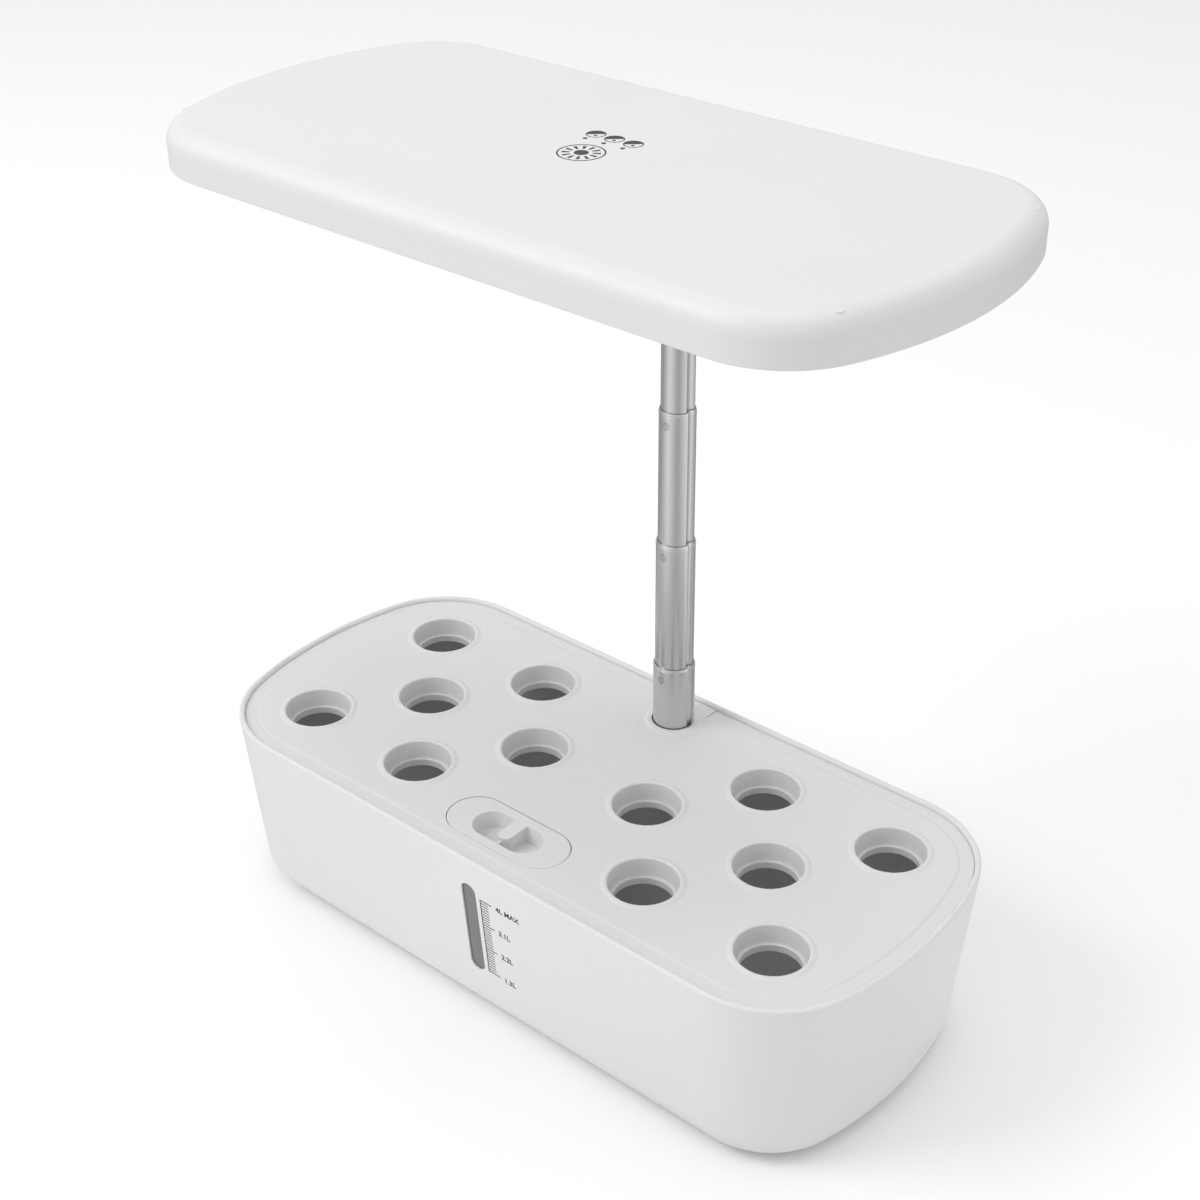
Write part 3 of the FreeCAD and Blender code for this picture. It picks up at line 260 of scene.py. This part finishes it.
# Meshes for the printed marks
def new_object(name, mesh):
    obj = bpy.data.objects.new(name, mesh)
    bpy.context.scene.collection.objects.link(obj)
    return obj


def mesh_from(bm, name, slot):
    """Turn a bmesh's faces outwards and make it an object of the given material."""
    bmesh.ops.recalc_face_normals(bm, faces=bm.faces)
    mesh = bpy.data.meshes.new(name)
    bm.to_mesh(mesh)
    bm.free()
    mesh.materials.append(MATERIALS[slot])
    return new_object(name, mesh)


def lay_on(obj, place, along, up):
    """Set an object flat on a surface: its X along one direction, its Y along the other."""
    normal = along.cross(up)
    turn = Matrix((along, up, normal)).transposed().to_4x4()
    obj.matrix_world = Matrix.Translation(place + normal * PRINT_PROUD * MM) @ turn


def join_loops(bm, first, second):
    """Faces between two closed loops of as many corners."""
    for i in range(len(first)):
        j = (i + 1) % len(first)
        bm.faces.new((first[i], first[j], second[j], second[i]))


def flat_piece(name, shapes):
    """A thin raised print from closed outlines, each a list of points or (outline, hole), in millimetres."""
    bm = bmesh.new()

    def corners(outline):
        return [bm.verts.new((x * MM, y * MM, 0)) for x, y in outline]

    for shape in shapes:
        if isinstance(shape, tuple):
            outline, hole = shape
            join_loops(bm, corners(outline), corners(hole))
        else:
            bm.faces.new(corners(shape))
    raised = bmesh.ops.extrude_face_region(bm, geom=list(bm.faces))["geom"]
    top = [item for item in raised if isinstance(item, bmesh.types.BMVert)]
    bmesh.ops.translate(bm, vec=(0, 0, PRINT_THICK * MM), verts=top)
    return mesh_from(bm, name, "ink")


def circle(radius, x=0.0, y=0.0, count=64, start=0.0, stop=2 * math.pi):
    """Points of a circle, or of an arc with both its ends when it stops short of a full turn."""
    full = math.isclose(stop - start, 2 * math.pi)
    steps = count if full else count + 1
    points = []
    for i in range(steps):
        angle = start + (stop - start) * i / count
        points.append((x + radius * math.cos(angle), y + radius * math.sin(angle)))
    return points


def tube_ring(name, level, tube, inner, outer):
    """A thin dark ring of painted shade that follows the front of a tube of the given radius, centred at a
    level.
    """
    bm = bmesh.new()
    loops = []
    for reach, rise in ((inner, SHADE_RING_SUNK), (outer, SHADE_RING_SUNK), (outer, SHADE_RING_PROUD), (inner, SHADE_RING_PROUD)):
        loop = []
        for x, z in circle(reach, count=48):
            depth = math.sqrt(tube * tube - x * x) + rise
            loop.append(bm.verts.new((x * MM, (POLE_BACK - depth) * MM, (level + z) * MM)))
        loops.append(loop)
    for first, second in zip(loops, loops[1:] + loops[:1]):
        join_loops(bm, first, second)
    return mesh_from(bm, name, "pin_shade_ring")


def box_outline(left, right, low, high):
    return [(left, low), (right, low), (right, high), (left, high)]


def lettering(name, text, height, bold):
    """A line of lettering as a mesh that starts at the origin, its capitals as high as given."""
    curve = bpy.data.curves.new(name + "_curve", "FONT")
    curve.body = text
    curve.size = height / CAPITAL_SHARE * MM
    curve.offset = bold * MM
    curve.extrude = LETTER_HALF * MM
    curve.resolution_u = 6
    source = new_object(name + "_source", curve)
    bpy.context.view_layer.update()
    graph = bpy.context.evaluated_depsgraph_get()
    mesh = bpy.data.meshes.new_from_object(source.evaluated_get(graph))
    bpy.data.objects.remove(source)
    mesh.name = name
    mesh.materials.clear()
    mesh.materials.append(MATERIALS["ink"])
    return new_object(name, mesh)


# Gauge scale and its figures on the sloping front wall
WALL_UP = Vector((0, -math.sin(WALL_SLOPE), math.cos(WALL_SLOPE)))
ALONG_X = Vector((1, 0, 0))
SCALE_LEFT = 7.5
MINOR_RIGHT = 12.5
MAJOR_RIGHT = 15.0
LABEL_LEFT = 17.6
LABEL_HEIGHT = 3.2
LABEL_BOLD = 0.11
LINE = 0.55
MINOR_SHARE = 0.9
LEVELS = ((80.0, "4L MAX"), (64.4, "3.1L"), (48.8, "2.2L"), (33.2, "1.3L"))
MINOR_STEPS = 9


def wall_place(x, z):
    """The point of the front wall at a distance along it and a level."""
    return Vector((x, -(HALF_WIDTH - (RIM_TOP - z) * math.tan(WALL_SLOPE)), z)) * MM


base_z = LEVELS[-1][0]
top_line = (LEVELS[0][0] - base_z) / math.cos(WALL_SLOPE)
ticks = [box_outline(SCALE_LEFT - LINE / 2, SCALE_LEFT + LINE / 2, -LINE / 2, top_line + LINE / 2)]
steps = MINOR_STEPS * (len(LEVELS) - 1)
for step in range(steps + 1):
    level = top_line * step / steps
    major = step % MINOR_STEPS == 0
    right = MAJOR_RIGHT if major else MINOR_RIGHT
    thick = LINE if major else LINE * MINOR_SHARE
    ticks.append(box_outline(SCALE_LEFT + LINE / 2, right, level - thick / 2, level + thick / 2))
scale_print = flat_piece("gauge_scale", ticks)
lay_on(scale_print, wall_place(0, base_z), ALONG_X, WALL_UP)
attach(scale_print, "base")
for index, (level, text) in enumerate(LEVELS):
    label = lettering("gauge_label_%d" % (index + 1), text, LABEL_HEIGHT, LABEL_BOLD)
    lay_on(label, wall_place(LABEL_LEFT, level - LABEL_HEIGHT / 2), ALONG_X, WALL_UP)
    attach(label, "base")

# Touch mark: a ring, a disc and rays between them. Its place and that of the mode marks are set to agree
# with the photograph, so they may take up some of the fitted camera's error.
LAMP_UP = Vector((0, 1, 0))
RING_OUTER, RING_INNER, DISC = 10.6, 9.9, 3.2
RAYS = 12
RAY_START, RAY_END = 4.9, 8.4
RAY_HALF_START, RAY_HALF_END = 0.45, 0.85
TOUCH_ACROSS, TOUCH_ALONG = -0.6, -0.3

sun = [(circle(RING_OUTER), circle(RING_INNER)), circle(DISC, count=40)]
for i in range(RAYS):
    angle = 2 * math.pi * i / RAYS
    out = Vector((math.cos(angle), math.sin(angle)))
    side = Vector((-out.y, out.x))
    corners = (out * RAY_START - side * RAY_HALF_START, out * RAY_END - side * RAY_HALF_END,
               out * RAY_END + side * RAY_HALF_END, out * RAY_START + side * RAY_HALF_START)
    sun.append([(p.x, p.y) for p in corners])
sun_print = flat_piece("touch_mark", sun)
lay_on(sun_print, Vector((TOUCH_ACROSS, TOUCH_ALONG, LAMP_TOP)) * MM, ALONG_X, LAMP_UP)
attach(sun_print, "lamp")

# Mode marks: three rings, each with a dark half and a small dot, and a dot in front of each
MARK_STEP = 10.5
MARK_ACROSS, MARK_ALONG = -1.2, 22.0
MARK_OUTER, MARK_INNER, MARK_HALF = 4.5, 4.0, 3.9
MARK_TURN = 0.23 * math.pi
INNER_DOT, INNER_DOT_RIGHT, INNER_DOT_FRONT = 0.8, 1.0, 1.6
FRONT_DOT, DOT_ALONG = 1.1, 14.8

marks = []
for i in (-1, 0, 1):
    x = MARK_ACROSS + i * MARK_STEP
    marks.append(circle(FRONT_DOT, x, DOT_ALONG, 24))
    marks.append((circle(MARK_OUTER, x, MARK_ALONG), circle(MARK_INNER, x, MARK_ALONG)))
    marks.append(circle(MARK_HALF, x, MARK_ALONG, 32, MARK_TURN, MARK_TURN + math.pi))
    marks.append(circle(INNER_DOT, x + INNER_DOT_RIGHT, MARK_ALONG - INNER_DOT_FRONT, 16))
mode_print = flat_piece("mode_marks", marks)
lay_on(mode_print, Vector((0, 0, LAMP_TOP)) * MM, ALONG_X, LAMP_UP)
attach(mode_print, "lamp")

# Rings of painted shade round the collar pins, standing for the shadow in the groove round each pin, from the
# lowest section up
PIN_LEVEL = 129.8
SECTION_PITCH = 71.7
LOWEST_RADIUS = 10.7
RADIUS_STEP = 0.8
SHADE_RING_INNER, SHADE_RING_OUTER = 1.7, 2.05
for step, body in enumerate(("base", "section_3", "section_2")):
    shade_ring = tube_ring("pin_edge_%d" % (SECTIONS[-1] - step), PIN_LEVEL + step * SECTION_PITCH,
                     LOWEST_RADIUS - RADIUS_STEP * step, SHADE_RING_INNER, SHADE_RING_OUTER)
    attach(shade_ring, body)

# Floor, light and camera
FLOOR_HALF = 7.0
FLOOR_SHADES = ((0.93, 0.93, 0.93), (0.95, 0.95, 0.95))
FLOOR_ROUGHNESS = 0.9
WORLD_STRENGTH = 0.78
CAMERA_CLIP = (0.01, 50.0)

# Square lights: name, place, side in metres and power in watts, all facing one point of the object
LIGHTS = (("key", (-1.3, -1.5, 1.9), 1.2, 22.0), ("top", (0.2, 0.1, 2.4), 1.6, 12.0))
LIGHT_TARGET = (0, 0, 0.2)

# Painted reflection on the pole: the floor's glow to glossy rays by bearing round the pole's axis from the
# camera in half turns, and its level there
PAINTED_REFLECTION_LEVELS = ((0.0, 0.43), (0.33, 1.0), (0.62, 0.40), (1.0, 0.37))
PAINTED_REFLECTION_GLOW = 1.15


def painted_pole_reflection(tree):
    """Painted reflection: to glossy rays the floor glows brighter or darker by bearing round the pole's axis,
    as light panels on either side would.
    """
    coordinates = tree.nodes.new("ShaderNodeTexCoord")
    parts = tree.nodes.new("ShaderNodeSeparateXYZ")
    tree.links.new(coordinates.outputs["Object"], parts.inputs["Vector"])

    def math_node(kind, first, second=0.0):
        node = tree.nodes.new("ShaderNodeMath")
        node.operation = kind
        for socket, value in zip(node.inputs, (first, second)):
            if isinstance(value, float):
                socket.default_value = value
            else:
                tree.links.new(value, socket)
        return node.outputs["Value"]

    back = math_node("SUBTRACT", parts.outputs["Y"], POLE_BACK * MM)
    bearing = math_node("ARCTAN2", parts.outputs["X"], math_node("MULTIPLY", back, -1.0))
    turned = math_node("SUBTRACT", bearing, math.radians(CAMERA_AZIMUTH))
    folded = math_node("ARCCOSINE", math_node("COSINE", turned))
    ramp = tree.nodes.new("ShaderNodeValToRGB")
    while len(ramp.color_ramp.elements) < len(PAINTED_REFLECTION_LEVELS):
        ramp.color_ramp.elements.new(0.5)
    for element, (place, level) in zip(ramp.color_ramp.elements, PAINTED_REFLECTION_LEVELS):
        element.position = place
        element.color = (level, level, level, 1)
    tree.links.new(math_node("DIVIDE", folded, math.pi), ramp.inputs["Fac"])
    glow = tree.nodes.new("ShaderNodeEmission")
    tree.links.new(ramp.outputs["Color"], glow.inputs["Color"])
    glow.inputs["Strength"].default_value = PAINTED_REFLECTION_GLOW
    return glow.outputs["Emission"]


def stage_floor():
    mesh = bpy.data.meshes.new("studio_floor")
    corners = [(x, y, 0) for x, y in box_outline(-FLOOR_HALF, FLOOR_HALF, -FLOOR_HALF, FLOOR_HALF)]
    mesh.from_pydata(corners, [], [(0, 1, 2, 3)])
    floor = new_object("studio_floor", mesh)
    mat, tree, shader = new_material("pale_floor_and_painted_reflection")
    clouds = noise(tree, place_texture(tree), scale=0.6, detail=2.0)
    tree.links.new(shades(tree, clouds, *FLOOR_SHADES), shader.inputs["Base Color"])
    shader.inputs["Roughness"].default_value = FLOOR_ROUGHNESS
    # Painted reflection: glossy rays see the painted glow instead of the floor's pale colour
    rays = tree.nodes.new("ShaderNodeLightPath")
    mix = tree.nodes.new("ShaderNodeMixShader")
    tree.links.new(rays.outputs["Is Glossy Ray"], mix.inputs["Fac"])
    tree.links.new(shader.outputs["BSDF"], mix.inputs[1])
    tree.links.new(painted_pole_reflection(tree), mix.inputs[2])
    tree.links.new(mix.outputs["Shader"], tree.nodes["Material Output"].inputs["Surface"])
    mesh.materials.append(mat)


def soft_box(name, place, size, power):
    light = bpy.data.lights.new(name, "AREA")
    light.shape = "SQUARE"
    light.size = size
    light.energy = power
    obj = new_object(name, light)
    obj.location = place
    obj.rotation_euler = (Vector(LIGHT_TARGET) - Vector(place)).to_track_quat("-Z", "Y").to_euler()


def studio():
    world = bpy.data.worlds.new("studio")
    bpy.context.scene.world = world
    world.use_nodes = True
    background = world.node_tree.nodes["Background"]
    background.inputs["Color"].default_value = (1, 1, 1, 1)
    background.inputs["Strength"].default_value = WORLD_STRENGTH
    for name, place, size, power in LIGHTS:
        soft_box(name, place, size, power)
    view = bpy.context.scene.view_settings
    view.view_transform = "Standard"
    view.look = "None"


def photo_camera():
    azimuth, elevation, roll = (math.radians(a) for a in (CAMERA_AZIMUTH, CAMERA_ELEVATION, CAMERA_ROLL))
    back = Vector((math.sin(azimuth) * math.cos(elevation), -math.cos(azimuth) * math.cos(elevation),
                   math.sin(elevation)))
    right = (-back).cross(Vector((0, 0, 1))).normalized()
    up = right.cross(-back)
    rolled_right = math.cos(roll) * right + math.sin(roll) * up
    rolled_up = math.cos(roll) * up - math.sin(roll) * right
    camera = bpy.data.cameras.new("photo_camera")
    camera.sensor_width = SENSOR
    camera.lens = SENSOR * FOCAL_PIXELS / PHOTO_SIDE
    camera.clip_start, camera.clip_end = CAMERA_CLIP
    obj = new_object("photo_camera", camera)
    turn = Matrix((rolled_right, rolled_up, back)).transposed().to_4x4()
    obj.matrix_world = Matrix.Translation(CAMERA_PLACE) @ turn
    bpy.context.scene.camera = obj


stage_floor()
studio()
photo_camera()
